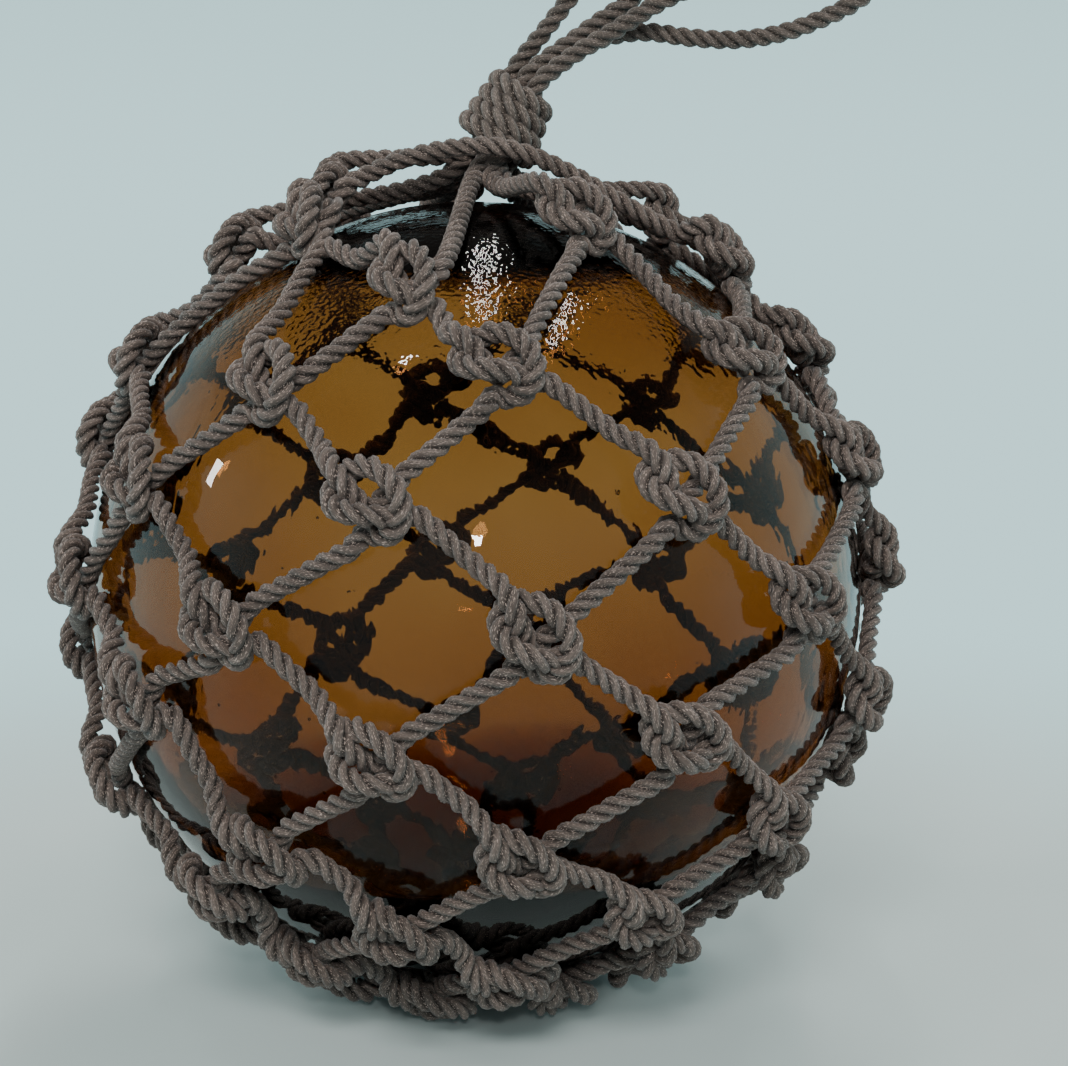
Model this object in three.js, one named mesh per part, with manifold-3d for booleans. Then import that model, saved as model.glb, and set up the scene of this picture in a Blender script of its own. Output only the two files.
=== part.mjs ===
// Glass net float: a sealed blown-glass ball in a hand-knotted rope net.
// Millimetres, +Z up, origin on the surface it rests on, below the ball's centre.

import * as THREE from 'three';
import { mergeVertices } from 'three/addons/utils/BufferGeometryUtils.js';
import Module from 'manifold-3d';

const wasm = await Module();
wasm.setup();

// ---- Driving sizes ----

const GLASS_RADIUS = 144;
const CENTRE_HEIGHT = 152;
const ROPE = 6.3;
const CLEARANCE = 0.35;
const BAR_RISE = 1.7;

const MESHES_AROUND = 9;
const FIRST_LONGITUDE = -12;
const ROW_LATITUDES = [52, 37, 21, 4.5, -10.3, -24.8, -39, -52.5, -66];
const TOP_ROW_LIFT = [-1, 14, 2, 9, 7, 12, 8, 3, 12];
const TOP_ROW_SWING = [0, 3, 13, 1, -3, 3, -2, 6, -3];
const BACK_RISE = 6;
// Knots that were tied out of line: row, place in the row, degrees north, degrees east.
const MOVED_KNOTS = [
  [1, 0, 0, -3], [1, 1, 0, 3], [1, 7, -1, -6], [1, 8, -3, 1], [2, 1, -1, 3], [3, 6, 1, 6],
  [3, 7, -1, 2], [4, 0, -3, 1], [4, 6, 4, 5], [5, 6, -2, 3], [6, 5, 2, 4], [7, 5, 0, -6],
];
const EXTRA_KNOT = { latitude: 70.5, longitude: -78 };
const PLAIN_TOP_KNOTS = [1, 3, 4, 5, 6];
const FRONT_KNOT = 0;
const RIGHT_KNOT = 2;
const LEFT_KNOT = 7;
const LEG_SWING = 9;
const LEG_LATITUDE = 81;
const LEG_HEIGHT = 6.5;
const LONGEST_SPAN = 50;
const TYING_ERROR = 0.9;

const FOOT_RING_LATITUDE = -78;
const NECK_FOOT = new THREE.Vector3(0.5, 0, 152);
const NECK_HEAD = new THREE.Vector3(19.4, 0, 187);
const NECK_RADIUS = 11.5;
const NECK_TAPER = 0.45;
const NECK_LEG_RADII = [5, 11.2];
const NECK_LEG_HEIGHTS = [0.2, 0.05];
const LASHING_TURNS = 3.75;
const LASHING_SPAN = [0.36, 0.92];
const LASHING_GAP = 0.9;

const GLASS_DETAIL = 4;
const NET_SIDES = 4;
const NET_SECTION = 0.54 * ROPE;
const RING_SIDES = 5;
const RING_STEPS = 18;
const NECK_SIDES = 10;
const LASHING_SIDES = 5;
const LASHING_SECTION = 0.46 * ROPE;
const STEPS_PER_TURN = 8;
const CORD_SIDES = 8;
const LOWEST_LAYER = GLASS_RADIUS + CLEARANCE + NET_SECTION + BAR_RISE;

// ---- Knot outlines, in rope diameters: east, north, lift off the lowest layer ----

const BIGHT = [[-1.3, 1.1, 0], [0, -0.5, 0], [1.3, 1.1, 0]];
const FIRST_TURN = [[-1.0, -1.6, 0], [1.3, -1.5, 1.0], [1.7, 0.9, 1.25], [-1.3, 1.75, 1.25]];
const SECOND_TURN = [[-2.2, 0.6, 1.1], [-0.6, -0.95, 1.0], [1.7, -1.3, -0.1]];
const LAST_TURN_END = [[-1.7, 1.45, 1.0]];
const FOOT_BIGHT = [[-1.3, 0.8, 0.4], [0, -0.1, 0.7], [1.3, 0.8, 0.4]];

// ---- Routes of the ropes over and above the neck's foot, from the ball's centre ----

// From the extra knot, before the neck, to the right-hand top knot.
const CROSSING = [
  [-39, -16, 152.6], [-12, -19, 161.8], [16.6, -21, 161.1], [45.2, -18, 147.7], [74, -15, 132.5],
];

// From the top knot beside the extra knot to the front one.
const LINK = [[-64, -62, 124], [-40, -69, 126]];

const HANGING_LOOP = [
  [14.4, 3.5, 191.2], [19, 3.5, 197.3], [24.5, 3, 203.7], [35, 2.5, 217], [46, 2.5, 230],
  [61, 3, 244], [78, 5, 256], [98, 6, 262], [120, 6, 259], [137, 5, 250], [147, 3, 238],
  [149, 0, 226.5], [139.2, -1, 215.8], [123.7, -1, 208], [109.3, 0, 203.4], [94.7, 1, 201.6],
  [78.4, 2, 202.4], [63.8, 4, 204.5], [54.7, 5, 204.1], [47, 5.5, 202.4], [37.6, 5.5, 198.1],
  [30, 5.5, 193.5], [23, 5, 188.4],
];
const SPARE_LOOP = [
  [24.2, -6.5, 186.7], [29.5, -6.5, 191.1], [38.1, -6.5, 197.1], [47.5, -7, 202.4],
  [57.8, -7.5, 208.7], [68.6, -8.5, 214.9], [84, -9.5, 221], [103, -11, 226], [120, -14, 229],
  [136, -17, 231], [150, -16, 231], [161, -10, 230], [165, -1, 230], [160, 8, 230],
  [149, 13, 230], [134, 12, 230], [119, 8, 230], [103, 4, 229], [87, 1, 227.5], [72, -1, 224],
  [59.7, -1.5, 217.9], [43.5, -1.5, 206.7], [34.6, -1.5, 200.4], [25.5, -1.5, 194.1],
  [19.5, -1.5, 188.9],
];

const CENTRE = new THREE.Vector3(0, 0, CENTRE_HEIGHT);

function fromCentre([x, y, z]) {
  return new THREE.Vector3(x, y, z).add(CENTRE);
}

// A route through given points, with a section at each of them.
class RopeRoute extends THREE.Curve {
  constructor(points) {
    super();
    this.points = points;
  }

  getPoint(t, target = new THREE.Vector3()) {
    const place = t * (this.points.length - 1);
    const index = Math.min(Math.floor(place), this.points.length - 2);
    return target.lerpVectors(this.points[index], this.points[index + 1], place - index);
  }

  getPointAt(t, target) {
    return this.getPoint(t, target);
  }

  getTangentAt(t, target = new THREE.Vector3()) {
    const last = this.points.length - 1;
    const index = Math.round(t * last);
    const before = this.points[Math.max(index - 1, 0)];
    const after = this.points[Math.min(index + 1, last)];
    return target.subVectors(after, before).normalize();
  }
}

function ropeSection(radius, sides) {
  const corners = [];
  for (let i = 0; i < sides; i += 1) {
    const angle = (2 * Math.PI * i) / sides;
    corners.push(new THREE.Vector2(radius * Math.cos(angle), radius * Math.sin(angle)));
  }
  return new THREE.Shape(corners);
}

function ropeGeometry(points, radius, sides) {
  return new THREE.ExtrudeGeometry(ropeSection(radius, sides), {
    steps: points.length - 1,
    bevelEnabled: false,
    extrudePath: new RopeRoute(points),
  });
}

function toSolid(geometry) {
  geometry.deleteAttribute('normal');
  geometry.deleteAttribute('uv');
  const merged = mergeVertices(geometry);
  const mesh = new wasm.Mesh({
    numProp: 3,
    vertProperties: new Float32Array(merged.attributes.position.array),
    triVerts: new Uint32Array(merged.index.array),
  });
  return new wasm.Manifold(mesh);
}

function toGeometry(solid) {
  const mesh = solid.getMesh();
  const geometry = new THREE.BufferGeometry();
  geometry.setAttribute('position', new THREE.BufferAttribute(mesh.vertProperties, 3));
  geometry.setIndex(new THREE.BufferAttribute(mesh.triVerts, 1));
  geometry.computeVertexNormals();
  return geometry;
}

function namedMesh(name, geometry, look) {
  const mesh = new THREE.Mesh(geometry, new THREE.MeshStandardMaterial(look));
  mesh.name = name;
  return mesh;
}

// ---- Places on the ball ----

function onBall(latitude, longitude, height) {
  const lat = THREE.MathUtils.degToRad(latitude);
  const lon = THREE.MathUtils.degToRad(longitude);
  const direction = new THREE.Vector3(
    Math.cos(lat) * Math.sin(lon),
    -Math.cos(lat) * Math.cos(lon),
    Math.sin(lat),
  );
  return direction.multiplyScalar(GLASS_RADIUS + height).add(CENTRE);
}

// A point of a knot, laid on the ball around the knot's own place.
function inKnot(knot, [east, north, lift]) {
  const outward = onBall(knot.latitude, knot.longitude, 0).sub(CENTRE).normalize();
  const eastward = new THREE.Vector3(-outward.y, outward.x, 0).normalize();
  const northward = new THREE.Vector3().crossVectors(outward, eastward);
  const point = outward.clone().multiplyScalar(GLASS_RADIUS);
  point.addScaledVector(eastward, east * ROPE).addScaledVector(northward, north * ROPE);
  return point.setLength(LOWEST_LAYER + lift * ROPE).add(CENTRE);
}

function knotAt(row, k) {
  const around = ((k % MESHES_AROUND) + MESHES_AROUND) % MESHES_AROUND;
  const step = 360 / MESHES_AROUND;
  const knot = {
    latitude: ROW_LATITUDES[row] + TYING_ERROR * Math.sin(2.1 * row + 4.7 * around),
    longitude: FIRST_LONGITUDE + step * (k + row / 2) + TYING_ERROR * Math.sin(3.4 * row + 1.9 * around),
  };
  if (row === 0) {
    knot.latitude += TOP_ROW_LIFT[around];
    knot.longitude += TOP_ROW_SWING[around];
    return knot;
  }
  const latitude = THREE.MathUtils.degToRad(knot.latitude);
  const longitude = THREE.MathUtils.degToRad(knot.longitude);
  knot.latitude += BACK_RISE * Math.max(0, -Math.cos(longitude)) * Math.cos(latitude) ** 2;
  const moved = MOVED_KNOTS.find(([itsRow, itsPlace]) => itsRow === row && itsPlace === around);
  if (moved) {
    knot.latitude += moved[2];
    knot.longitude += moved[3];
  }
  return knot;
}

function through(knot, outline) {
  return outline.map((place) => inKnot(knot, place));
}

// ---- The net ----

// One row of knots and the loops that hang from it, as one rope all the way round the ball.
function rowRope(row) {
  const points = [];
  for (let k = 0; k < MESHES_AROUND; k += 1) {
    points.push(...through(knotAt(row, k), SECOND_TURN));
    points.push(...hangingBight(row, k));
    points.push(...through(knotAt(row, k + 1), FIRST_TURN));
  }
  points.push(...through(knotAt(row, 0), LAST_TURN_END));
  return points;
}

// The bight between knots k and k + 1: the next row is knotted to it, or the foot ring runs through it.
function hangingBight(row, k) {
  if (row + 1 < ROW_LATITUDES.length) {
    return through(knotAt(row + 1, k), BIGHT);
  }
  const longitude = knotAt(row, k).longitude + 180 / MESHES_AROUND;
  return through({ latitude: FOOT_RING_LATITUDE, longitude }, FOOT_BIGHT);
}

function neckPoint(along, longitude, radius) {
  const lon = THREE.MathUtils.degToRad(longitude);
  const point = new THREE.Vector3().lerpVectors(NECK_FOOT, NECK_HEAD, along);
  point.x += radius * Math.sin(lon);
  point.y -= radius * Math.cos(lon);
  point.z += CENTRE_HEIGHT;
  return point;
}

// A leg between a top knot and the neck, listed from the neck down, lying on the ball half-way.
function neckLeg(knot, swing) {
  const longitude = knot.longitude + swing;
  return [
    neckPoint(NECK_LEG_HEIGHTS[0], longitude, NECK_LEG_RADII[0]),
    neckPoint(NECK_LEG_HEIGHTS[1], longitude, NECK_LEG_RADII[1]),
    onBall(LEG_LATITUDE, longitude, LEG_HEIGHT),
  ];
}

function legsOf(knot) {
  return [neckLeg(knot, -LEG_SWING), neckLeg(knot, LEG_SWING).reverse()];
}

// The bights that the top row hangs on, and their legs, which run up into the neck.
function topRopes() {
  const bight = (k) => through(knotAt(0, k), BIGHT);
  const legs = (k) => legsOf(knotAt(0, k));
  const ropes = PLAIN_TOP_KNOTS.map((k) => [...legs(k)[0], ...bight(k), ...legs(k)[1]]);
  ropes.push([
    ...legs(LEFT_KNOT)[0],
    ...bight(LEFT_KNOT),
    ...through(EXTRA_KNOT, FIRST_TURN),
    ...through(EXTRA_KNOT, SECOND_TURN),
    ...bight(LEFT_KNOT + 1),
    ...LINK.map(fromCentre),
    ...bight(FRONT_KNOT),
    ...legs(FRONT_KNOT)[1],
  ]);
  ropes.push([
    ...legsOf(EXTRA_KNOT)[0].slice(0, 2),
    ...through(EXTRA_KNOT, BIGHT),
    ...CROSSING.map(fromCentre),
    ...bight(RIGHT_KNOT),
    ...legs(RIGHT_KNOT)[1],
  ]);
  return ropes;
}

// A long straight span would cut into the ball, so it gets a point of its own on the ball.
function laidOnBall(points) {
  const laid = [];
  points.forEach((point, i) => {
    if (i > 0 && point.distanceTo(points[i - 1]) > LONGEST_SPAN) {
      const middle = new THREE.Vector3().lerpVectors(points[i - 1], point, 0.5).sub(CENTRE);
      laid.push(middle.setLength(Math.max(middle.length(), LOWEST_LAYER)).add(CENTRE));
    }
    laid.push(point);
  });
  return laid;
}

// The ring that the lowest bights hang round, at the foot of the ball.
function footRing() {
  const latitude = THREE.MathUtils.degToRad(FOOT_RING_LATITUDE);
  const ring = new THREE.TorusGeometry(
    LOWEST_LAYER * Math.cos(latitude),
    NET_SECTION,
    RING_SIDES,
    RING_STEPS,
  );
  ring.translate(0, 0, LOWEST_LAYER * Math.sin(latitude) + CENTRE_HEIGHT);
  return ring;
}

// The bundle of rope ends that the lashing is wound on.
function neckCore() {
  const axis = new THREE.Vector3().subVectors(NECK_HEAD, NECK_FOOT);
  const core = new THREE.CylinderGeometry(
    NECK_RADIUS * NECK_TAPER,
    NECK_RADIUS,
    axis.length(),
    NECK_SIDES,
  );
  core.rotateX(Math.PI / 2);
  const up = new THREE.Vector3(0, 0, 1);
  core.applyQuaternion(new THREE.Quaternion().setFromUnitVectors(up, axis.normalize()));
  const middle = new THREE.Vector3().lerpVectors(NECK_FOOT, NECK_HEAD, 0.5);
  core.translate(middle.x, middle.y, middle.z + CENTRE_HEIGHT);
  return core;
}

// The knots under the ball are pressed flat where it rests.
function restingSurface() {
  const side = 4 * GLASS_RADIUS;
  const thickness = 20;
  const surface = new THREE.BoxGeometry(side, side, thickness);
  surface.translate(0, 0, -thickness / 2);
  return surface;
}

function ropeNet() {
  const routes = topRopes();
  for (let row = 0; row < ROW_LATITUDES.length; row += 1) {
    routes.push(rowRope(row));
  }
  const ropes = routes.map((points) => ropeGeometry(laidOnBall(points), NET_SECTION, NET_SIDES));
  const pieces = [...ropes, footRing(), neckCore()].map(toSolid);
  return wasm.Manifold.union(pieces).subtract(toSolid(restingSurface()));
}

// The lashing: one rope wound round the neck, every turn beside the last.
function neckLashing() {
  const steps = LASHING_TURNS * STEPS_PER_TURN;
  const axis = new THREE.Vector3().subVectors(NECK_HEAD, NECK_FOOT);
  const across = new THREE.Vector3(0, 1, 0);
  const side = new THREE.Vector3().crossVectors(across, axis).normalize();
  const points = [];
  for (let i = 0; i <= steps; i += 1) {
    const along = THREE.MathUtils.lerp(LASHING_SPAN[0], LASHING_SPAN[1], i / steps);
    const turn = (2 * Math.PI * i) / STEPS_PER_TURN;
    const core = NECK_RADIUS * THREE.MathUtils.lerp(1, NECK_TAPER, along);
    const radius = core + CLEARANCE + ROPE / 2 + LASHING_GAP;
    const point = new THREE.Vector3().lerpVectors(NECK_FOOT, NECK_HEAD, along);
    point.addScaledVector(side, radius * Math.cos(turn));
    point.addScaledVector(across, -radius * Math.sin(turn));
    points.push(point.add(CENTRE));
  }
  return ropeGeometry(points, LASHING_SECTION, LASHING_SIDES);
}

function freeRope(route) {
  return ropeGeometry(route.map(fromCentre), ROPE / 2, CORD_SIDES);
}

function glassBall() {
  const ball = new THREE.IcosahedronGeometry(GLASS_RADIUS, GLASS_DETAIL);
  ball.translate(0, 0, CENTRE_HEIGHT);
  return ball;
}

const AMBER_GLASS = { color: 0xa8681a, roughness: 0.06, metalness: 0 };
const NET_ROPE = { color: 0x6f6258, roughness: 0.9, metalness: 0 };
const LASHING_ROPE = { color: 0x6a5d54, roughness: 0.9, metalness: 0 };
const LOOP_ROPE = { color: 0x74675c, roughness: 0.9, metalness: 0 };

const group = new THREE.Group();
group.add(namedMesh('glass_ball', glassBall(), AMBER_GLASS));
group.add(namedMesh('rope_net', toGeometry(ropeNet()), NET_ROPE));
group.add(namedMesh('neck_lashing', neckLashing(), LASHING_ROPE));
group.add(namedMesh('hanging_loop', freeRope(HANGING_LOOP), LOOP_ROPE));
group.add(namedMesh('spare_loop', freeRope(SPARE_LOOP), LOOP_ROPE));

export default group;
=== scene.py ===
import math

import bmesh
import bpy
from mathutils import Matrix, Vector, noise


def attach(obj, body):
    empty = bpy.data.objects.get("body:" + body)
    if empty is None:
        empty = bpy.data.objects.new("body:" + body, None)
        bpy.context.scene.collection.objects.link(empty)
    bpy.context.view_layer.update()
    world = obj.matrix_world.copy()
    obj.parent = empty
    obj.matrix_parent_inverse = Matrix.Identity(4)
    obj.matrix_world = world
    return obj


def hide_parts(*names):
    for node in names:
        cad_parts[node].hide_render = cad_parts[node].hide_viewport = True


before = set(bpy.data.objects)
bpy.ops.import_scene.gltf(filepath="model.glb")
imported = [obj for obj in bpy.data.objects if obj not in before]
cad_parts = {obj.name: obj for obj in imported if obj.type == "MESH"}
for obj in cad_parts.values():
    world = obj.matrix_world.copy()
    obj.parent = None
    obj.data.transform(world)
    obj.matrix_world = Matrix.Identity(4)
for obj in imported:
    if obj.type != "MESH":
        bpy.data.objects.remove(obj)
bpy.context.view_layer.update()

# ---- The view ----
# The camera stands a little to the right of the ball, level with the top of the glass, and looks
# slightly down at it.

CENTRE = Vector((0.0, 0.0, 0.152))
VIEW_PLACE = CENTRE + Vector((0.0216, -0.7588, 0.1432))
VIEW_PITCH = -9.2
LENS = 68.76
SENSOR_WIDTH = 36.0

camera_data = bpy.data.cameras.new("camera")
camera_data.lens = LENS
camera_data.sensor_width = SENSOR_WIDTH
camera_data.clip_start = 0.02
camera = bpy.data.objects.new("camera", camera_data)
camera.location = VIEW_PLACE
camera.rotation_euler = (math.radians(90 + VIEW_PITCH), 0.0, 0.0)
bpy.context.scene.collection.objects.link(camera)
bpy.context.scene.camera = camera

# ---- The free loops ----
# Two loops of the net's own rope stand up out of the neck: a high one to hang the float by, and
# a long, low one beside it. The rope is three strands laid up right-handed, dry and springy.

ROPE = 0.0063
ROPE_RADIUS = ROPE / 2
CROWN_RADIUS = 0.0035
LAY_LENGTH = 0.0162
STRAND_SHARE = 0.5
YARN_LEAN = 0.35
ROUTE_STEP = 0.002
BEND_FULLNESS = 0.0014
FULLEST = 1.16
GLINT_LIFT = 3.0
NET_RINGS = {"spacing": 0.0015, "points": 18}
FINE_RINGS = {"spacing": 0.0012, "points": 24}
INTO_NECK = Vector((-0.0048, 0.0, -0.0088))


def new_node(tree, kind, **settings):
    made = tree.nodes.new(kind)
    for name, value in settings.items():
        setattr(made, name, value)
    return made


def feed(tree, socket, source):
    if isinstance(source, bpy.types.NodeSocket):
        tree.links.new(source, socket)
    else:
        socket.default_value = source


def arithmetic(tree, operation, *values):
    made = new_node(tree, "ShaderNodeMath", operation=operation)
    for socket, value in zip(made.inputs, values):
        feed(tree, socket, value)
    return made.outputs[0]


def geometry_tree(name, inputs):
    """A node tree that is given these inputs, with a geometry as its one output."""
    tree = bpy.data.node_groups.new(name, "GeometryNodeTree")
    for socket, kind in inputs.items():
        tree.interface.new_socket(socket, in_out="INPUT", socket_type="NodeSocket" + kind)
    tree.interface.new_socket("Made", in_out="OUTPUT", socket_type="NodeSocketGeometry")
    return tree, new_node(tree, "NodeGroupInput").outputs


def end_tree(tree, geometry, material):
    """Ends the tree with its instances made real and all of it in the one material."""
    real = new_node(tree, "GeometryNodeRealizeInstances")
    feed(tree, real.inputs["Geometry"], geometry)
    finished = new_node(tree, "GeometryNodeSetMaterial")
    feed(tree, finished.inputs["Geometry"], real.outputs["Geometry"])
    feed(tree, finished.inputs["Material"], material)
    result = new_node(tree, "NodeGroupOutput")
    feed(tree, result.inputs["Made"], finished.outputs["Geometry"])
    return tree


def captured(tree, geometry, kind, value):
    """The geometry with the value kept on its points, and the value as it was there."""
    made = new_node(tree, "GeometryNodeCaptureAttribute")
    made.capture_items.new(kind, "value")
    feed(tree, made.inputs[0], geometry)
    feed(tree, made.inputs[1], value)
    return made.outputs[0], made.outputs[1]


def laid_rope_tree():
    """Sweeps a three-strand section along each route, turning it once in every lay length."""
    tree, given = geometry_tree("laid_rope", {
        "Routes": "Geometry", "Rope Radius": "Float", "Strand Share": "Float",
        "Lay Length": "Float", "Ring Spacing": "Float", "Yarn Lean": "Float",
        "Section Points": "Int", "Material": "Material",
    })

    routes = new_node(tree, "GeometryNodeMeshToCurve")
    feed(tree, routes.inputs["Mesh"], given["Routes"])
    rings = new_node(tree, "GeometryNodeResampleCurve", mode="LENGTH")
    feed(tree, rings.inputs["Curve"], routes.outputs["Curve"])
    feed(tree, rings.inputs["Length"], given["Ring Spacing"])
    whole = new_node(tree, "GeometryNodeSplineLength").outputs["Length"]
    along = new_node(tree, "GeometryNodeSplineParameter").outputs
    lays = arithmetic(tree, "ROUND", arithmetic(tree, "DIVIDE", whole, given["Lay Length"]))
    turns = arithmetic(tree, "MULTIPLY", along["Factor"], lays)
    turned = arithmetic(tree, "MULTIPLY", turns, math.tau)
    tilted = new_node(tree, "GeometryNodeSetCurveTilt")
    feed(tree, tilted.inputs["Curve"], rings.outputs["Curve"])
    feed(tree, tilted.inputs["Tilt"], turned)
    path, path_turn = captured(tree, tilted.outputs["Curve"], "FLOAT", turned)
    path, path_length = captured(tree, path, "FLOAT", along["Length"])

    circle = new_node(tree, "GeometryNodeCurvePrimitiveCircle")
    feed(tree, circle.inputs["Resolution"], given["Section Points"])
    circle.inputs["Radius"].default_value = 1.0
    around = new_node(tree, "GeometryNodeSplineParameter").outputs["Factor"]
    angle = arithmetic(tree, "MULTIPLY", around, math.tau)
    in_strand = arithmetic(tree, "WRAP", angle, math.pi / 3, -math.pi / 3)
    offset = arithmetic(tree, "SUBTRACT", 1.0, given["Strand Share"])
    across = arithmetic(tree, "MULTIPLY", offset, arithmetic(tree, "SINE", in_strand))
    share_squared = arithmetic(tree, "POWER", given["Strand Share"], 2.0)
    bulge = arithmetic(tree, "SUBTRACT", share_squared, arithmetic(tree, "POWER", across, 2.0))
    forward = arithmetic(tree, "MULTIPLY", offset, arithmetic(tree, "COSINE", in_strand))
    reach = arithmetic(tree, "ADD", forward, arithmetic(tree, "SQRT", bulge))
    place = new_node(tree, "GeometryNodeInputPosition").outputs[0]
    scaled = new_node(tree, "ShaderNodeVectorMath", operation="SCALE")
    feed(tree, scaled.inputs[0], place)
    feed(tree, scaled.inputs["Scale"], arithmetic(tree, "MULTIPLY", reach, given["Rope Radius"]))
    section, section_angle = captured(tree, circle.outputs["Curve"], "FLOAT", angle)
    section, section_reach = captured(tree, section, "FLOAT", reach)
    shaped = new_node(tree, "GeometryNodeSetPosition")
    feed(tree, shaped.inputs["Geometry"], section)
    feed(tree, shaped.inputs["Position"], scaled.outputs[0])

    swept = new_node(tree, "GeometryNodeCurveToMesh")
    feed(tree, swept.inputs["Curve"], path)
    fullness = new_node(tree, "GeometryNodeInputNamedAttribute", data_type="FLOAT")
    fullness.inputs["Name"].default_value = "fullness"
    feed(tree, swept.inputs["Scale"], fullness.outputs["Attribute"])
    feed(tree, swept.inputs["Profile Curve"], shaped.outputs["Geometry"])
    swept.inputs["Fill Caps"].default_value = True
    lean = arithmetic(tree, "MULTIPLY", path_turn, given["Yarn Lean"])
    yarn_angle = arithmetic(tree, "ADD", section_angle, lean)
    yarns = new_node(tree, "ShaderNodeCombineXYZ")
    feed(tree, yarns.inputs["X"], arithmetic(tree, "COSINE", yarn_angle))
    feed(tree, yarns.inputs["Y"], arithmetic(tree, "SINE", yarn_angle))
    feed(tree, yarns.inputs["Z"], path_length)
    shown = swept.outputs["Mesh"]
    for name, kind, value in (
        ("yarns", "FLOAT_VECTOR", yarns.outputs[0]),
        ("crown", "FLOAT", section_reach),
    ):
        stored = new_node(tree, "GeometryNodeStoreNamedAttribute", data_type=kind)
        feed(tree, stored.inputs["Geometry"], shown)
        stored.inputs["Name"].default_value = name
        feed(tree, stored.inputs["Value"], value)
        shown = stored.outputs["Geometry"]
    smooth = new_node(tree, "GeometryNodeSetShadeSmooth")
    feed(tree, smooth.inputs["Geometry"], shown)
    return end_tree(tree, smooth.outputs["Geometry"], given["Material"])


def new_material(name):
    material = bpy.data.materials.new(name)
    material.use_nodes = True
    return material, material.node_tree, material.node_tree.nodes["Principled BSDF"]


def noise_texture(tree, vector, scale, detail, stretch=(1.0, 1.0, 1.0), **others):
    mapping = new_node(tree, "ShaderNodeMapping")
    feed(tree, mapping.inputs["Vector"], vector)
    mapping.inputs["Scale"].default_value = stretch
    made = new_node(tree, "ShaderNodeTexNoise")
    feed(tree, made.inputs["Vector"], mapping.outputs[0])
    for name, value in {"Scale": scale, "Detail": detail, **others}.items():
        made.inputs[name].default_value = value
    return made.outputs["Fac"]


def ranged(tree, value, low, high, first=0.0, last=1.0, curve="LINEAR"):
    made = new_node(tree, "ShaderNodeMapRange", interpolation_type=curve)
    for socket, given in zip(made.inputs, (value, low, high, first, last)):
        feed(tree, socket, given)
    return made.outputs[0]


def mixed_colour(tree, amount, first, second):
    made = new_node(tree, "ShaderNodeMix", data_type="RGBA")
    feed(tree, made.inputs["Factor"], amount)
    feed(tree, made.inputs["A"], first)
    feed(tree, made.inputs["B"], second)
    return made.outputs["Result"]


def bumped(tree, height, distance, strength=1.0, normal=None):
    made = new_node(tree, "ShaderNodeBump")
    made.inputs["Distance"].default_value = distance
    feed(tree, made.inputs["Strength"], strength)
    feed(tree, made.inputs["Height"], height)
    if normal:
        feed(tree, made.inputs["Normal"], normal)
    return made.outputs[0]


def rope_material(name, light, dark, groove_shade):
    """Dry laid rope: fine yarns along the strands, painted shade in the grooves, painted glints in
    the fibres.
    """
    material, tree, surface = new_material(name)
    yarns = new_node(tree, "ShaderNodeAttribute", attribute_name="yarns").outputs["Vector"]
    crown = new_node(tree, "ShaderNodeAttribute", attribute_name="crown").outputs["Fac"]
    place = new_node(tree, "ShaderNodeTexCoord").outputs["Object"]
    glint_colour = tuple(min(1.0, GLINT_LIFT * part) for part in light)
    fibres = noise_texture(tree, yarns, 11.0, 2.0, stretch=(1.0, 1.0, 14.0))
    patches = noise_texture(tree, place, 45.0, 2.0)
    specks = noise_texture(tree, yarns, 16.0, 0.0, stretch=(1.0, 1.0, 90.0))
    worn = ranged(tree, patches, 0.3, 0.7)
    # The grooves between the yarns and between the strands go towards the groove colour: painted
    # shade.
    shade_between_yarns = ranged(tree, fibres, 0.35, 0.6, 0.45, 0.0)
    shade_between_strands = ranged(tree, crown, 0.56, 0.92, 1.0, 0.0)
    # Thin specks along the yarns go towards a brighter copy of the rope colour: painted glints,
    # with lower roughness there.
    glint = ranged(tree, specks, 0.65, 0.715, 0.0, 0.75)
    colour = mixed_colour(tree, worn, (*dark, 1.0), (*light, 1.0))
    colour = mixed_colour(tree, shade_between_yarns, colour, (*groove_shade, 1.0))
    colour = mixed_colour(tree, shade_between_strands, colour, (*groove_shade, 1.0))
    colour = mixed_colour(tree, glint, colour, (*glint_colour, 1.0))
    feed(tree, surface.inputs["Base Color"], colour)
    feed(tree, surface.inputs["Roughness"], ranged(tree, specks, 0.55, 0.72, 0.72, 0.35))
    surface.inputs["Specular IOR Level"].default_value = 0.45
    surface.inputs["Sheen Weight"].default_value = 0.15
    feed(tree, surface.inputs["Normal"], bumped(tree, fibres, 0.0004, strength=0.7))
    return material


def through(points, closed=False):
    """A smooth route through the points, with a step of about two millimetres."""
    if closed:
        points = [points[-1], *points, points[0], points[1]]
    else:
        points = [2 * points[0] - points[1], *points, 2 * points[-1] - points[-2]]
    route = []
    for before, start, end, after in zip(points, points[1:], points[2:], points[3:]):
        spans = [math.sqrt(max((b - a).length, 1e-6)) for a, b in
                 ((before, start), (start, end), (end, after))]
        first = spans[1] * ((start - before) / spans[0]
                            - (end - before) / (spans[0] + spans[1])
                            + (end - start) / spans[1])
        last = spans[1] * ((end - start) / spans[1]
                           - (after - start) / (spans[1] + spans[2])
                           + (after - end) / spans[2])
        steps = max(2, round((end - start).length / ROUTE_STEP))
        for step in range(steps):
            t = step / steps
            route.append(
                (2 * t**3 - 3 * t**2 + 1) * start + (t**3 - 2 * t**2 + t) * first
                + (3 * t**2 - 2 * t**3) * end + (t**3 - t**2) * last
            )
    if not closed:
        route.append(points[-2])
    return route


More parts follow.
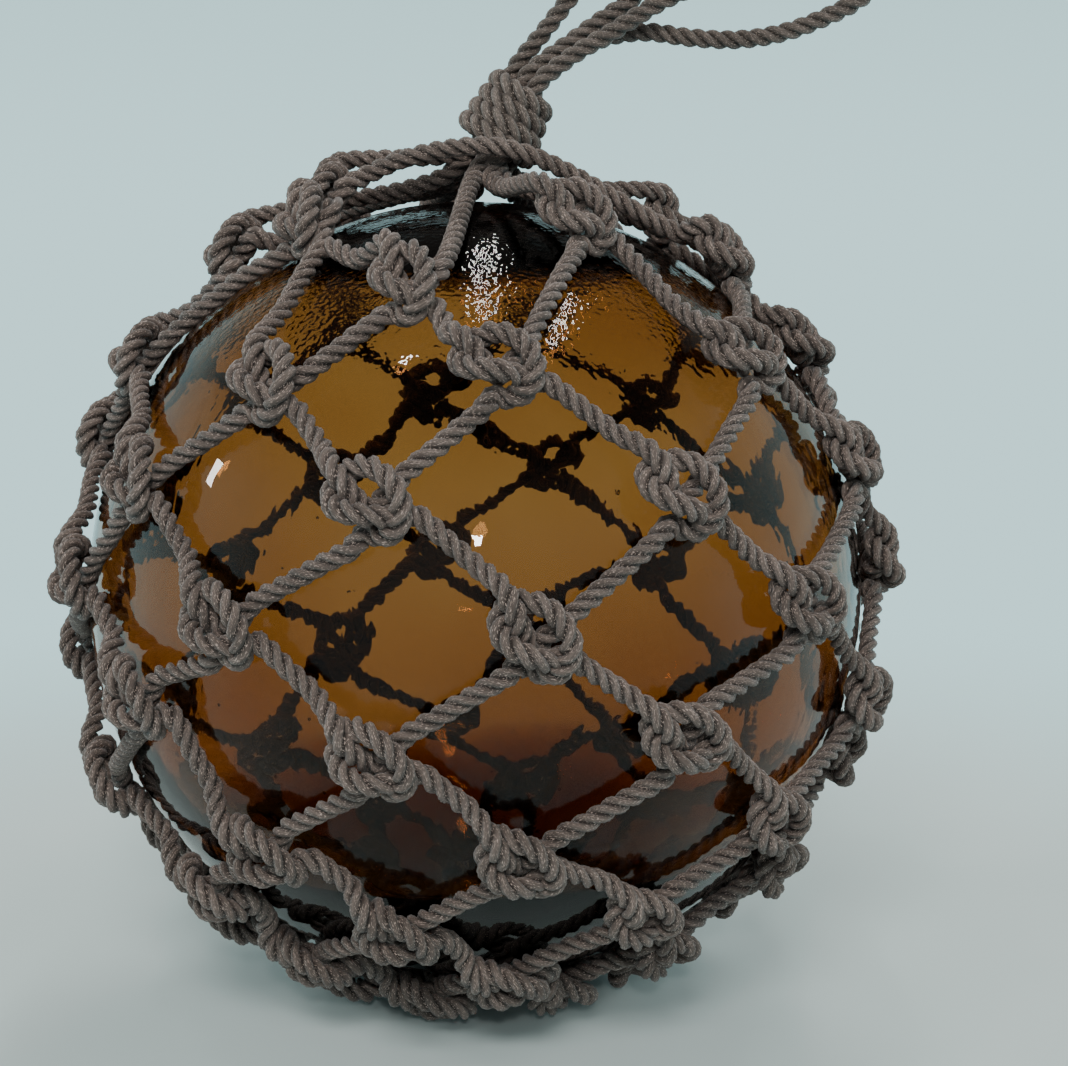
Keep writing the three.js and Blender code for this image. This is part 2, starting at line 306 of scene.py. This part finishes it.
def fullness_of(route, closed):
    """How full the rope is at each point: bent round a knot, its strands open and spread."""
    count = len(route)

    def at(values, index):
        return values[index % count if closed else min(max(index, 0), count - 1)]

    bends = []
    for index in range(count):
        here = route[index]
        arriving = here - at(route, index - 2)
        leaving = at(route, index + 2) - here
        span = arriving.length + leaving.length
        straight = min(arriving.length, leaving.length) < 1e-6
        bends.append(0.0 if straight else 2.0 * arriving.angle(leaving) / span)
    near = range(-3, 4)
    full = []
    for index in range(count):
        bend = sum(at(bends, index + offset) for offset in near) / len(near)
        full.append(min(FULLEST, 1.0 + BEND_FULLNESS * bend))
    return full


ROPE_TREE = laid_rope_tree()


def shaped_by_nodes(piece, tree, values):
    """Gives the piece's mesh what the tree makes of it, as a plain mesh."""
    modifier = piece.modifiers.new(tree.name, "NODES")
    modifier.node_group = tree
    for socket in tree.interface.items_tree:
        if socket.name in values:
            modifier[socket.identifier] = values[socket.name]
    graph = bpy.context.evaluated_depsgraph_get()
    finished = bpy.data.meshes.new_from_object(
        piece.evaluated_get(graph), preserve_all_data_layers=True, depsgraph=graph
    )
    piece.modifiers.clear()
    started = piece.data
    piece.data = finished
    bpy.data.meshes.remove(started)
    finished.name = piece.name


def laid_rope(name, routes, material, rings, closed=()):
    """A piece of laid rope as one plain mesh. The routes numbered in closed join up in a ring."""
    mesh = bpy.data.meshes.new(name)
    places = []
    edges = []
    full = []
    for index, route in enumerate(routes):
        first = len(places)
        places.extend(route)
        full.extend(fullness_of(route, index in closed))
        edges.extend((first + i, first + i + 1) for i in range(len(route) - 1))
        if index in closed:
            edges.append((len(places) - 1, first))
    mesh.from_pydata(places, edges, [])
    mesh.attributes.new("fullness", "FLOAT", "POINT").data.foreach_set("value", full)
    piece = bpy.data.objects.new(name, mesh)
    bpy.context.scene.collection.objects.link(piece)
    shaped_by_nodes(piece, ROPE_TREE, {
        "Rope Radius": CROWN_RADIUS,
        "Strand Share": STRAND_SHARE,
        "Lay Length": LAY_LENGTH,
        "Ring Spacing": rings["spacing"],
        "Yarn Lean": YARN_LEAN,
        "Section Points": rings["points"],
        "Material": material,
    })
    return piece


def from_centre(places):
    return [CENTRE + Vector(place) / 1000 for place in places]


HANGING_LOOP = from_centre([
    (14.4, 3.5, 191.2), (19, 3.5, 197.3), (24.5, 3, 203.7), (29.6, 3, 210.1), (35, 2.5, 217),
    (46, 2.5, 230), (61, 3, 244), (78, 5, 256), (98, 6, 262), (120, 6, 259), (137, 5, 250),
    (147, 3, 238), (149, 0, 226.5), (139.2, -1, 215.8), (123.7, -1, 208), (109.3, 0, 203.4),
    (94.7, 1, 201.6), (78.4, 2, 202.4), (63.8, 4, 204.5), (54.7, 5, 204.1), (47, 5.5, 202.4),
    (37.6, 5.5, 198.1), (30, 5.5, 193.5), (23, 5, 188.4),
])
SPARE_LOOP = from_centre([
    (24.2, -6.5, 186.7), (29.5, -6.5, 191.1), (38.1, -6.5, 197.1), (47.5, -7, 202.4),
    (57.8, -7.5, 208.7), (68.6, -8.5, 214.9), (84, -9.5, 221), (103, -11, 226), (120, -14, 229),
    (136, -17, 231), (150, -16, 231), (161, -10, 230), (165, -1, 230), (160, 8, 230),
    (149, 13, 230), (134, 12, 230), (119, 8, 230), (103, 4, 229), (87, 1, 227.5),
    (72, -1, 224), (59.7, -1.5, 217.9), (53.2, -1.5, 213), (43.5, -1.5, 206.7),
    (34.6, -1.5, 200.4), (25.5, -1.5, 194.1), (19.5, -1.5, 188.9),
])

loop_rope = rope_material(
    "loop_rope",
    light=(0.12, 0.097, 0.084), dark=(0.07, 0.056, 0.048), groove_shade=(0.017, 0.012, 0.009),
)
for name, route in (("hanging_loop_rope", HANGING_LOOP), ("spare_loop_rope", SPARE_LOOP)):
    smooth_route = through([route[0] + INTO_NECK, *route, route[-1] + INTO_NECK])
    loop = laid_rope(name, [smooth_route], loop_rope, FINE_RINGS)
    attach(loop, "root")
    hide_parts(name.replace("_rope", ""))

# ---- The glass ball ----
# Blown amber glass, sealed with its air inside: a wall of four to six millimetres that is thicker
# at the seal on top and where the glass pooled below. The thickening downwards and the pooled
# glass also darken the bottom of the ball: partly real, partly painted shade. Both faces are
# slightly wavy from the blowing, and small seeds are caught between them.

GLASS_RADIUS = 0.144
GLASS_WALL = 0.0048
GLASS_CLEARANCE = 0.0004
THINNING_UPWARD = 0.25
SEAL_DEPTH = 0.011
SEAL_HEIGHTS = (0.8, 0.97)
POOLED_AND_SHADE_DEPTH = 0.014
POOLED_HEIGHTS = (-0.6, -0.8)
SEEDS_PER_AREA = 190.0
SEEDS_IN_WALL = 0.4
SMALLEST_SEED = 0.0002
LARGEST_SEED = 0.0008
GLASS_FACE = (0.77, 0.605, 0.41, 1.0)
GLASS_DEPTH = (0.677, 0.417, 0.093, 1.0)
ABSORPTION = 312.0
RIPPLED_FROM, RIPPLED_FULLY = 0.236, 0.266

# The slow waves of each face: how close together they are, how deep, and from where.
OUTER_WAVES = ((2.1, 0.00035, (0, 0, 0)), (6.0, 0.00012, (0, 0, 0)))
INNER_WAVES = ((1.7, 0.0012, (4, 1, 7)), (5.0, 0.0003, (1, 6, 2)))


def share_between(value, start, end):
    return min(1.0, max(0.0, (value - start) / (end - start)))


def waviness(direction, waves):
    return sum(
        noise.noise(direction * scale + Vector(shift)) * height for scale, height, shift in waves
    )


def outer_radius(direction):
    return GLASS_RADIUS - GLASS_CLEARANCE + waviness(direction, OUTER_WAVES)


def inner_radius(direction):
    # Thicker downwards and pooled below, the glass darkens the bottom of the ball: partly real,
    # partly painted shade.
    depth = GLASS_WALL * (1.0 - THINNING_UPWARD * direction.z)
    depth += SEAL_DEPTH * share_between(direction.z, *SEAL_HEIGHTS) ** 2
    depth += POOLED_AND_SHADE_DEPTH * share_between(direction.z, *POOLED_HEIGHTS)
    return GLASS_RADIUS - (depth + waviness(direction, INNER_WAVES))


def blown_face(radius_towards):
    """A face of the wall: each of its points is as far out as the rule says for its direction."""
    face = bmesh.new()
    bmesh.ops.create_icosphere(face, subdivisions=7, radius=1.0)
    for point in face.verts:
        direction = point.co.normalized()
        point.co = direction * radius_towards(direction) + CENTRE
    return face


def ball_shell(name):
    """Both faces of the wall as one closed solid: the outer faces out and the inner faces in."""
    shell = blown_face(outer_radius)
    inner = blown_face(inner_radius)
    bmesh.ops.reverse_faces(inner, faces=inner.faces)
    cavity = bpy.data.meshes.new("cavity")
    inner.to_mesh(cavity)
    inner.free()
    shell.from_mesh(cavity)
    bpy.data.meshes.remove(cavity)
    mesh = bpy.data.meshes.new(name)
    shell.to_mesh(mesh)
    shell.free()
    mesh.shade_smooth()
    piece = bpy.data.objects.new(name, mesh)
    bpy.context.scene.collection.objects.link(piece)
    return piece


def glass_material():
    """Clear amber glass with broad waves all over and fine ripples towards the top."""
    material, tree, surface = new_material("amber_glass")
    surface.inputs["Base Color"].default_value = GLASS_FACE
    surface.inputs["Transmission Weight"].default_value = 1.0
    surface.inputs["Roughness"].default_value = 0.0
    surface.inputs["IOR"].default_value = 1.5
    surface.inputs["Specular Tint"].default_value = (0.45, 0.45, 0.45, 1.0)
    place = new_node(tree, "ShaderNodeTexCoord").outputs["Object"]
    parts = new_node(tree, "ShaderNodeSeparateXYZ")
    feed(tree, parts.inputs[0], place)
    near_top = ranged(
        tree, parts.outputs["Z"], RIPPLED_FROM, RIPPLED_FULLY, curve="SMOOTHSTEP"
    )
    waves = noise_texture(
        tree, place, 42.0, 3.0, stretch=(1.0, 1.0, 0.7), Roughness=0.55, Distortion=0.3
    )
    ripples = noise_texture(tree, place, 600.0, 0.0)
    wavy = bumped(tree, waves, 0.0003)
    rippled = bumped(tree, ripples, 0.00014, strength=near_top, normal=wavy)
    feed(tree, surface.inputs["Normal"], rippled)
    volume = new_node(tree, "ShaderNodeVolumeAbsorption")
    volume.inputs["Color"].default_value = GLASS_DEPTH
    volume.inputs["Density"].default_value = ABSORPTION
    feed(tree, tree.nodes["Material Output"].inputs["Volume"], volume.outputs[0])
    return material


def seeds_tree():
    """Scatters small round cavities through the middle of the wall."""
    tree, given = geometry_tree("glass_seeds", {
        "Shell": "Geometry", "Middle Radius": "Float", "Seeds Per Area": "Float",
        "Smallest": "Float", "Largest": "Float", "Centre": "Vector", "Material": "Material",
    })
    middle = new_node(tree, "GeometryNodeMeshIcoSphere")
    feed(tree, middle.inputs["Radius"], given["Middle Radius"])
    middle.inputs["Subdivisions"].default_value = 5
    placed = new_node(tree, "GeometryNodeTransform")
    feed(tree, placed.inputs["Geometry"], middle.outputs["Mesh"])
    feed(tree, placed.inputs["Translation"], given["Centre"])
    scattered = new_node(tree, "GeometryNodeDistributePointsOnFaces")
    feed(tree, scattered.inputs["Mesh"], placed.outputs["Geometry"])
    feed(tree, scattered.inputs["Density"], given["Seeds Per Area"])
    scattered.inputs["Seed"].default_value = 7
    size = new_node(tree, "FunctionNodeRandomValue", data_type="FLOAT")
    feed(tree, size.inputs[2], given["Smallest"])
    feed(tree, size.inputs[3], given["Largest"])
    size.inputs["Seed"].default_value = 3
    ball = new_node(tree, "GeometryNodeMeshIcoSphere")
    ball.inputs["Subdivisions"].default_value = 3
    inward = new_node(tree, "GeometryNodeFlipFaces")
    feed(tree, inward.inputs["Mesh"], ball.outputs["Mesh"])
    smooth = new_node(tree, "GeometryNodeSetShadeSmooth")
    feed(tree, smooth.inputs["Geometry"], inward.outputs["Mesh"])
    cavities = new_node(tree, "GeometryNodeInstanceOnPoints")
    feed(tree, cavities.inputs["Points"], scattered.outputs["Points"])
    feed(tree, cavities.inputs["Instance"], smooth.outputs["Geometry"])
    feed(tree, cavities.inputs["Scale"], size.outputs[1])
    together = new_node(tree, "GeometryNodeJoinGeometry")
    feed(tree, together.inputs["Geometry"], cavities.outputs["Instances"])
    feed(tree, together.inputs["Geometry"], given["Shell"])
    return end_tree(tree, together.outputs["Geometry"], given["Material"])


glass = ball_shell("glass_float")
shaped_by_nodes(glass, seeds_tree(), {
    "Middle Radius": GLASS_RADIUS - SEEDS_IN_WALL * GLASS_WALL,
    "Seeds Per Area": SEEDS_PER_AREA,
    "Smallest": SMALLEST_SEED,
    "Largest": LARGEST_SEED,
    "Centre": CENTRE,
    "Material": glass_material(),
})
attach(glass, "root")
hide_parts("glass_ball")

# ---- The net ----
# One rope goes round the ball for each row of meshes. It hangs in bights between its knots, and
# the next row's rope is knotted to each bight: once round behind it, then over, and out again.

MESHES_AROUND = 9
FIRST_LONGITUDE = -12
ROW_LATITUDES = (52, 37, 21, 4.5, -10.3, -24.8, -39, -52.5, -66)
TOP_ROW_LIFT = (-1, 14, 2, 9, 7, 12, 8, 3, 12)
TOP_ROW_SWING = (0, 3, 13, 1, -3, 3, -2, 6, -3)
TYING_ERROR = 0.9
KNOT_TURN = 9
BACK_RISE = 6.0
MOVED_KNOTS = {
    (1, 0): (0, -3), (1, 1): (0, 3), (1, 7): (-1, -6), (1, 8): (-3, 1), (2, 1): (-1, 3),
    (3, 6): (1, 6), (3, 7): (-1, 2), (4, 0): (-3, 1), (4, 6): (4, 5), (5, 6): (-2, 3),
    (6, 5): (2, 4), (7, 5): (0, -6),
}
EXTRA_KNOT = (70.5, -78.0)
FOOT_RING_LATITUDE = -78
FOOT_RING_HEIGHT = 0.0055
FOOT_RING_STEP = 10
HANGING_WIDTH = 0.85
HANGING_HEIGHT = 1.06
HEADING_DROOP = 19.0
DROOP_PER_DEGREE = 1.2
HEADING_STAND = 0.002
STAND_PER_DEGREE = 0.00012
NECK_FOOT = Vector((0.0005, 0.0, 0.152))
NECK_HEAD = Vector((0.0194, 0.0, 0.187))
LEG_SWING = 9
LEG_LATITUDE = 81
LEG_HEIGHT = 0.0065

# A leg in the neck, from the top down: share of the neck's length and distance off its axis.
LEG_IN_NECK = ((0.95, 0.003), (0.6, 0.005), (0.3, 0.007), (0.05, 0.0112))

# A bar between two knots: share of its length and height off the glass.
BAR_LIFTS = ((0.3, 0.0006), (0.5, 0.0002), (0.7, 0.0006))

# The knot's two ropes, in rope diameters: east, north and off the glass.
BIGHT = (
    (-1.75, 2.15, 0.35), (-1.3, 1.45, 0.7), (-0.93, 0.78, 0.6), (-0.57, 0.14, 0.05),
    (-0.18, -0.22, -0.25), (0.28, -0.18, -0.3), (0.72, 0.2, -0.35), (1.15, 0.68, -0.4),
    (1.65, 1.2, -0.35),
)
HITCH = (
    (-0.95, -1.95, -0.35), (-0.5, -1.42, -0.4), (0.12, -1.45, -0.5), (0.75, -1.6, -0.2),
    (1.32, -1.4, 0.2), (1.62, -0.8, 0.6), (1.66, -0.2, 0.85), (1.5, 0.32, 0.9),
    (1.2, 0.78, 0.9), (0.8, 1.2, 0.85), (0.32, 1.53, 0.7), (-0.2, 1.68, 0.45),
    (-0.82, 1.68, 0.0), (-1.34, 1.45, -0.3), (-1.66, 0.97, -0.15), (-1.7, 0.38, 0.2),
    (-1.42, -0.17, 0.65), (-0.9, -0.5, 0.95), (-0.28, -0.7, 1.0), (0.33, -0.84, 0.85),
    (0.9, -0.87, 0.35), (1.42, -0.75, -0.2), (1.95, -0.7, -0.4), (2.4, -0.95, -0.4),
)
FOOT_BIGHT = ((-1.3, 0.8, 0.4), (0.0, -0.1, 0.7), (1.3, 0.8, 0.4))

# The places round the neck whose bights have both legs to themselves.
PLAIN_BIGHTS = (1, 3, 4, 5, 6)

# The heading rope's free runs: from the last knot to the first, as latitude, longitude and
# height, and across the neck's front, in millimetres from the ball's centre.
HEADING_LINK = ((61, -47, 0.004), (59.5, -38, 0.0045), (57, -27, 0.0045))
HEADING_CROSSING = from_centre([
    (-39, -16, 152.6), (-26, -17.5, 158.3), (-12, -19, 161.8), (4.4, -21, 163.2),
    (16.6, -21, 161.1), (30.9, -19, 155.4), (45.2, -18, 147.7), (59.7, -17, 139.5),
    (74, -15, 132.5),
])


def on_ball(latitude, longitude, height):
    lat, lon = math.radians(latitude), math.radians(longitude)
    outward = Vector((math.cos(lat) * math.sin(lon), -math.cos(lat) * math.cos(lon), math.sin(lat)))
    return outward * (GLASS_RADIUS + height) + CENTRE


def knot_at(row, k):
    around = k % MESHES_AROUND
    latitude = ROW_LATITUDES[row] + TYING_ERROR * math.sin(2.1 * row + 4.7 * around)
    longitude = FIRST_LONGITUDE + 360 / MESHES_AROUND * (k + row / 2)
    longitude += TYING_ERROR * math.sin(3.4 * row + 1.9 * around)
    if row == 0:
        return latitude + TOP_ROW_LIFT[around], longitude + TOP_ROW_SWING[around]
    behind = max(0.0, -math.cos(math.radians(longitude)))
    latitude += BACK_RISE * behind * math.cos(math.radians(latitude)) ** 2
    north, east = MOVED_KNOTS.get((row, around), (0, 0))
    return latitude + north, longitude + east


def in_knot(knot, outline, droop=0.0, stand=0.0):
    """The outline laid on the ball at the knot, a little turned as no two are tied alike.
    A knot that hangs off the ball's shoulder droops: it faces further down than the glass does."""
    middle = on_ball(*knot, stand) - CENTRE
    outward = (on_ball(knot[0] - droop, knot[1], 0) - CENTRE).normalized()
    eastward = Vector((-outward.y, outward.x, 0)).normalized()
    northward = outward.cross(eastward)
    turn = math.radians(KNOT_TURN) * math.sin(0.37 * knot[0] + 0.11 * knot[1])
    places = []
    for east, north, lift in outline:
        across = east * math.cos(turn) - north * math.sin(turn)
        up = east * math.sin(turn) + north * math.cos(turn)
        flat = middle + (eastward * across + northward * up) * ROPE
        layer = CROWN_RADIUS + (lift + 0.5) * ROPE
        if droop:
            point = flat + outward * layer
        else:
            point = flat.normalized() * (GLASS_RADIUS + layer)
        least = GLASS_RADIUS + CROWN_RADIUS
        places.append(point.normalized() * max(point.length, least) + CENTRE)
    return places


def bar(start, end):
    """The straight run between two knots, which lies on the glass at its middle."""
    run = []
    for share, lift in BAR_LIFTS:
        outward = (start.lerp(end, share) - CENTRE).normalized()
        run.append(outward * (GLASS_RADIUS + ROPE_RADIUS + lift) + CENTRE)
    return run


def joined(*parts):
    """The parts one after another, with a bar on the glass between each two."""
    route = list(parts[0])
    for part in parts[1:]:
        route += bar(route[-1], part[0]) + list(part)
    return route


def row_route(row):
    parts = []
    for k in range(MESHES_AROUND):
        parts.append(heading_knot(k, HITCH) if row == 0 else in_knot(knot_at(row, k), HITCH))
        if row + 1 < len(ROW_LATITUDES):
            parts.append(in_knot(knot_at(row + 1, k), BIGHT))
        else:
            longitude = knot_at(row, k)[1] + 180 / MESHES_AROUND
            parts.append(in_knot((FOOT_RING_LATITUDE, longitude), FOOT_BIGHT))
    route = joined(*parts)
    return route + bar(route[-1], route[0])


def neck_point(along, longitude, radius):
    lon = math.radians(longitude)
    return (
        NECK_FOOT.lerp(NECK_HEAD, along) + CENTRE
        + Vector((math.sin(lon), -math.cos(lon), 0)) * radius
    )


def neck_leg(knot, swing):
    """From inside the lashing down the neck and over the ball's top, on one side of a knot."""
    longitude = knot[1] + swing
    leg = [neck_point(along, longitude, radius) for along, radius in LEG_IN_NECK]
    return leg + [on_ball(LEG_LATITUDE, longitude, LEG_HEIGHT)]


def hanging_knot(knot, outline):
    """A knot high on the ball's shoulder: the higher it is, the further it droops."""
    above = knot[0] - ROW_LATITUDES[0]
    droop = HEADING_DROOP + DROOP_PER_DEGREE * above
    drawn = [(HANGING_WIDTH * east, HANGING_HEIGHT * north, lift) for east, north, lift in outline]
    return in_knot(knot, drawn, droop=droop, stand=HEADING_STAND + STAND_PER_DEGREE * above)


def heading_knot(k, outline):
    return hanging_knot(knot_at(0, k), outline)


def extra_knot(outline):
    return hanging_knot(EXTRA_KNOT, outline)


def neck_legs(knot):
    return neck_leg(knot, -LEG_SWING), neck_leg(knot, LEG_SWING)[::-1]


def heading_routes():
    """The bights that the first row is knotted to, and their legs, which run up into the neck."""
    routes = []
    for k in PLAIN_BIGHTS:
        down, up = neck_legs(knot_at(0, k))
        routes.append(down + heading_knot(k, BIGHT) + up)
    link = [on_ball(*place) for place in HEADING_LINK]
    routes.append(
        neck_legs(knot_at(0, 7))[0]
        + joined(heading_knot(7, BIGHT), extra_knot(HITCH), heading_knot(8, BIGHT))
        + link + heading_knot(0, BIGHT) + neck_legs(knot_at(0, 0))[1]
    )
    routes.append(
        neck_legs(EXTRA_KNOT)[0][:3] + extra_knot(BIGHT) + HEADING_CROSSING
        + heading_knot(2, BIGHT) + neck_legs(knot_at(0, 2))[1]
    )
    return routes


def above_floor(route):
    """The route lifted wherever its rope, at its fullest, would reach below the floor."""
    lowest = FULLEST * CROWN_RADIUS
    return [Vector((point.x, point.y, max(point.z, lowest))) for point in route]


def foot_ring():
    around = range(0, 360, FOOT_RING_STEP)
    return [on_ball(FOOT_RING_LATITUDE, longitude, FOOT_RING_HEIGHT) for longitude in around]


net_rope = rope_material(
    "net_rope",
    light=(0.158, 0.125, 0.109), dark=(0.086, 0.067, 0.057), groove_shade=(0.017, 0.012, 0.01),
)
for name, routes, loops in (
    ("net_heading", heading_routes(), [row_route(0)]),
    ("net_shoulder", [], [row_route(row) for row in (1, 2)]),
    ("net_waist", [], [row_route(row) for row in (3, 4)]),
    ("net_skirt", [], [row_route(row) for row in (5, 6)]),
    ("net_foot", [], [row_route(row) for row in (7, 8)] + [foot_ring()]),
):
    smooth_routes = [through(route) for route in routes]
    smooth_routes += [above_floor(through(route, closed=True)) for route in loops]
    closed = range(len(routes), len(smooth_routes))
    net = laid_rope(name, smooth_routes, net_rope, NET_RINGS, closed)
    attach(net, "root")
    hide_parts("rope_net")

# ---- The lashing ----
# One more length of the same rope, wound tight round the gathered ropes in nearly four turns. It
# holds the legs of the net and the feet of both loops together.

NECK_RADIUS = 0.0115
NECK_TAPER = 0.45
LASHING_TURNS = 3.75
LASHING_SPAN = (0.36, 0.92)
LASHING_CLEARANCE = 0.0005
POINTS_PER_TURN = 16


def lashing_route():
    axis = NECK_HEAD - NECK_FOOT
    across = Vector((0, 1, 0))
    side = across.cross(axis).normalized()
    route = []
    steps = round(LASHING_TURNS * POINTS_PER_TURN)
    for step in range(steps + 1):
        share = step / steps
        along = LASHING_SPAN[0] + (LASHING_SPAN[1] - LASHING_SPAN[0]) * share
        turn = math.tau * LASHING_TURNS * share
        neck = NECK_RADIUS * (1 + (NECK_TAPER - 1) * along)
        radius = neck + ROPE_RADIUS + LASHING_CLEARANCE
        point = NECK_FOOT.lerp(NECK_HEAD, along) + CENTRE
        route.append(point + side * radius * math.cos(turn) - across * radius * math.sin(turn))
    return route


lashing_rope = rope_material(
    "lashing_rope",
    light=(0.15, 0.123, 0.107), dark=(0.084, 0.068, 0.058), groove_shade=(0.018, 0.013, 0.01),
)
lashing = laid_rope("lashing", [through(lashing_route())], lashing_rope, FINE_RINGS)
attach(lashing, "root")
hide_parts("neck_lashing")

# ---- The table and the light ----
# A pale matt floor in a pale room that is dimmer overhead and on the near side. Two long soft
# lights hang over the float, with small ones beside them, to the left and in front. The key
# light stands in front and above, and three fill lights stand at the sides and behind.

PALE = (0.6, 0.91, 0.94)
HORIZON_LIFT = 1.3
DIM = (0.5, 0.56, 0.56)
OVERHEAD = (0.09, 0.082, 0.074)
SURROUND_STRENGTH = 1.0
FLOOR_COLOUR = (0.55, 0.65, 0.645, 1.0)
FLOOR_REACH = 12.0
LAMP_COLOUR = (1.0, 0.98, 0.95)

# Where the room's shades meet, in a direction's share towards the back and upwards, and how far
# from the float the floor fades into the room.
BECOMES_DIM = (-0.1, -0.7)
ABOVE_HORIZON = (-0.02, 0.22)
BECOMES_OVERHEAD = (0.3, 0.75)
FLOOR_FADES = (0.22, 0.75)


def room_colour(tree, direction):
    """The room's colour in a direction from the float, but for overhead, and how far it rises."""
    level = new_node(tree, "ShaderNodeVectorMath", operation="NORMALIZE")
    feed(tree, level.inputs[0], direction)
    parts = new_node(tree, "ShaderNodeSeparateXYZ")
    feed(tree, parts.inputs[0], level.outputs[0])
    nearness = ranged(tree, parts.outputs["Y"], *BECOMES_DIM, curve="SMOOTHSTEP")
    rise = ranged(tree, parts.outputs["Z"], *ABOVE_HORIZON, curve="SMOOTHSTEP")
    low = tuple(HORIZON_LIFT * part for part in PALE)
    wall = mixed_colour(tree, rise, (*low, 1.0), (*PALE, 1.0))
    return mixed_colour(tree, nearness, wall, (*DIM, 1.0)), parts.outputs["Z"]


def floor_material():
    """Pale and matt about the float, and as bright as the room where it meets it far off."""
    material, tree, surface = new_material("pale_floor")
    surface.inputs["Base Color"].default_value = FLOOR_COLOUR
    surface.inputs["Roughness"].default_value = 0.6
    surface.inputs["Specular IOR Level"].default_value = 0.25
    place = new_node(tree, "ShaderNodeTexCoord").outputs["Object"]
    far = new_node(tree, "ShaderNodeEmission")
    feed(tree, far.inputs["Color"], room_colour(tree, place)[0])
    far.inputs["Strength"].default_value = SURROUND_STRENGTH
    distance = new_node(tree, "ShaderNodeVectorMath", operation="LENGTH")
    feed(tree, distance.inputs[0], place)
    afar = ranged(tree, distance.outputs["Value"], *FLOOR_FADES, curve="SMOOTHSTEP")
    blend = new_node(tree, "ShaderNodeMixShader")
    feed(tree, blend.inputs[0], afar)
    feed(tree, blend.inputs[1], surface.outputs[0])
    feed(tree, blend.inputs[2], far.outputs[0])
    feed(tree, tree.nodes["Material Output"].inputs["Surface"], blend.outputs[0])
    return material


floor_mesh = bpy.data.meshes.new("floor")
corners = [
    (FLOOR_REACH * east, FLOOR_REACH * north, 0)
    for east, north in ((-1, -1), (1, -1), (1, 1), (-1, 1))
]
floor_mesh.from_pydata(corners, [], [(0, 1, 2, 3)])
floor_mesh.materials.append(floor_material())
floor = bpy.data.objects.new("floor", floor_mesh)
bpy.context.scene.collection.objects.link(floor)

world = bpy.data.worlds.new("surround")
world.use_nodes = True
room = world.node_tree
seen_towards = new_node(room, "ShaderNodeTexCoord").outputs["Generated"]
level_colour, height = room_colour(room, seen_towards)
overhead = ranged(room, height, *BECOMES_OVERHEAD, curve="SMOOTHSTEP")
feed(
    room, room.nodes["Background"].inputs["Color"],
    mixed_colour(room, overhead, level_colour, (*OVERHEAD, 1.0)),
)
room.nodes["Background"].inputs["Strength"].default_value = SURROUND_STRENGTH
bpy.context.scene.world = world


def soft_light(name, place, size, power, facing_down=False, reflected=True):
    """A lamp turned to the float or straight down. Unless reflected, it can't be seen in glass."""
    lamp = bpy.data.lights.new(name, "AREA")
    lamp.shape = "RECTANGLE"
    lamp.size, lamp.size_y = size
    lamp.energy = power
    lamp.color = LAMP_COLOUR
    holder = bpy.data.objects.new(name, lamp)
    holder.location = place
    holder.visible_glossy = holder.visible_transmission = reflected
    if not facing_down:
        holder.rotation_euler = (CENTRE - Vector(place)).to_track_quat("-Z", "Y").to_euler()
    bpy.context.scene.collection.objects.link(holder)


soft_light("strip_left", (0.036, 0.48, 1.7), (0.045, 1.05), 3.5, facing_down=True)
soft_light("strip_right", (0.5, 0.1, 1.7), (0.045, 0.65), 2.5, facing_down=True)
soft_light("overhead_lamp", (-0.43, -0.37, 1.66), (0.04, 0.07), 1.0)
soft_light("left", (-1.45, -0.08, 0.82), (0.06, 0.16), 1.5)
soft_light("flash", (0.07, -1.52, 0.78), (0.1, 0.07), 5.0)
soft_light("key", (-0.12, -1.22, 1.08), (0.5, 0.35), 15.0, reflected=False)
soft_light("fill_left", (-1.35, 0.1, 0.8), (0.5, 0.5), 5.0, reflected=False)
soft_light("fill_right", (1.35, 0.1, 0.8), (0.5, 0.5), 5.0, reflected=False)
soft_light("fill_behind", (0.25, 1.25, 1.1), (0.6, 0.5), 11.0, reflected=False)
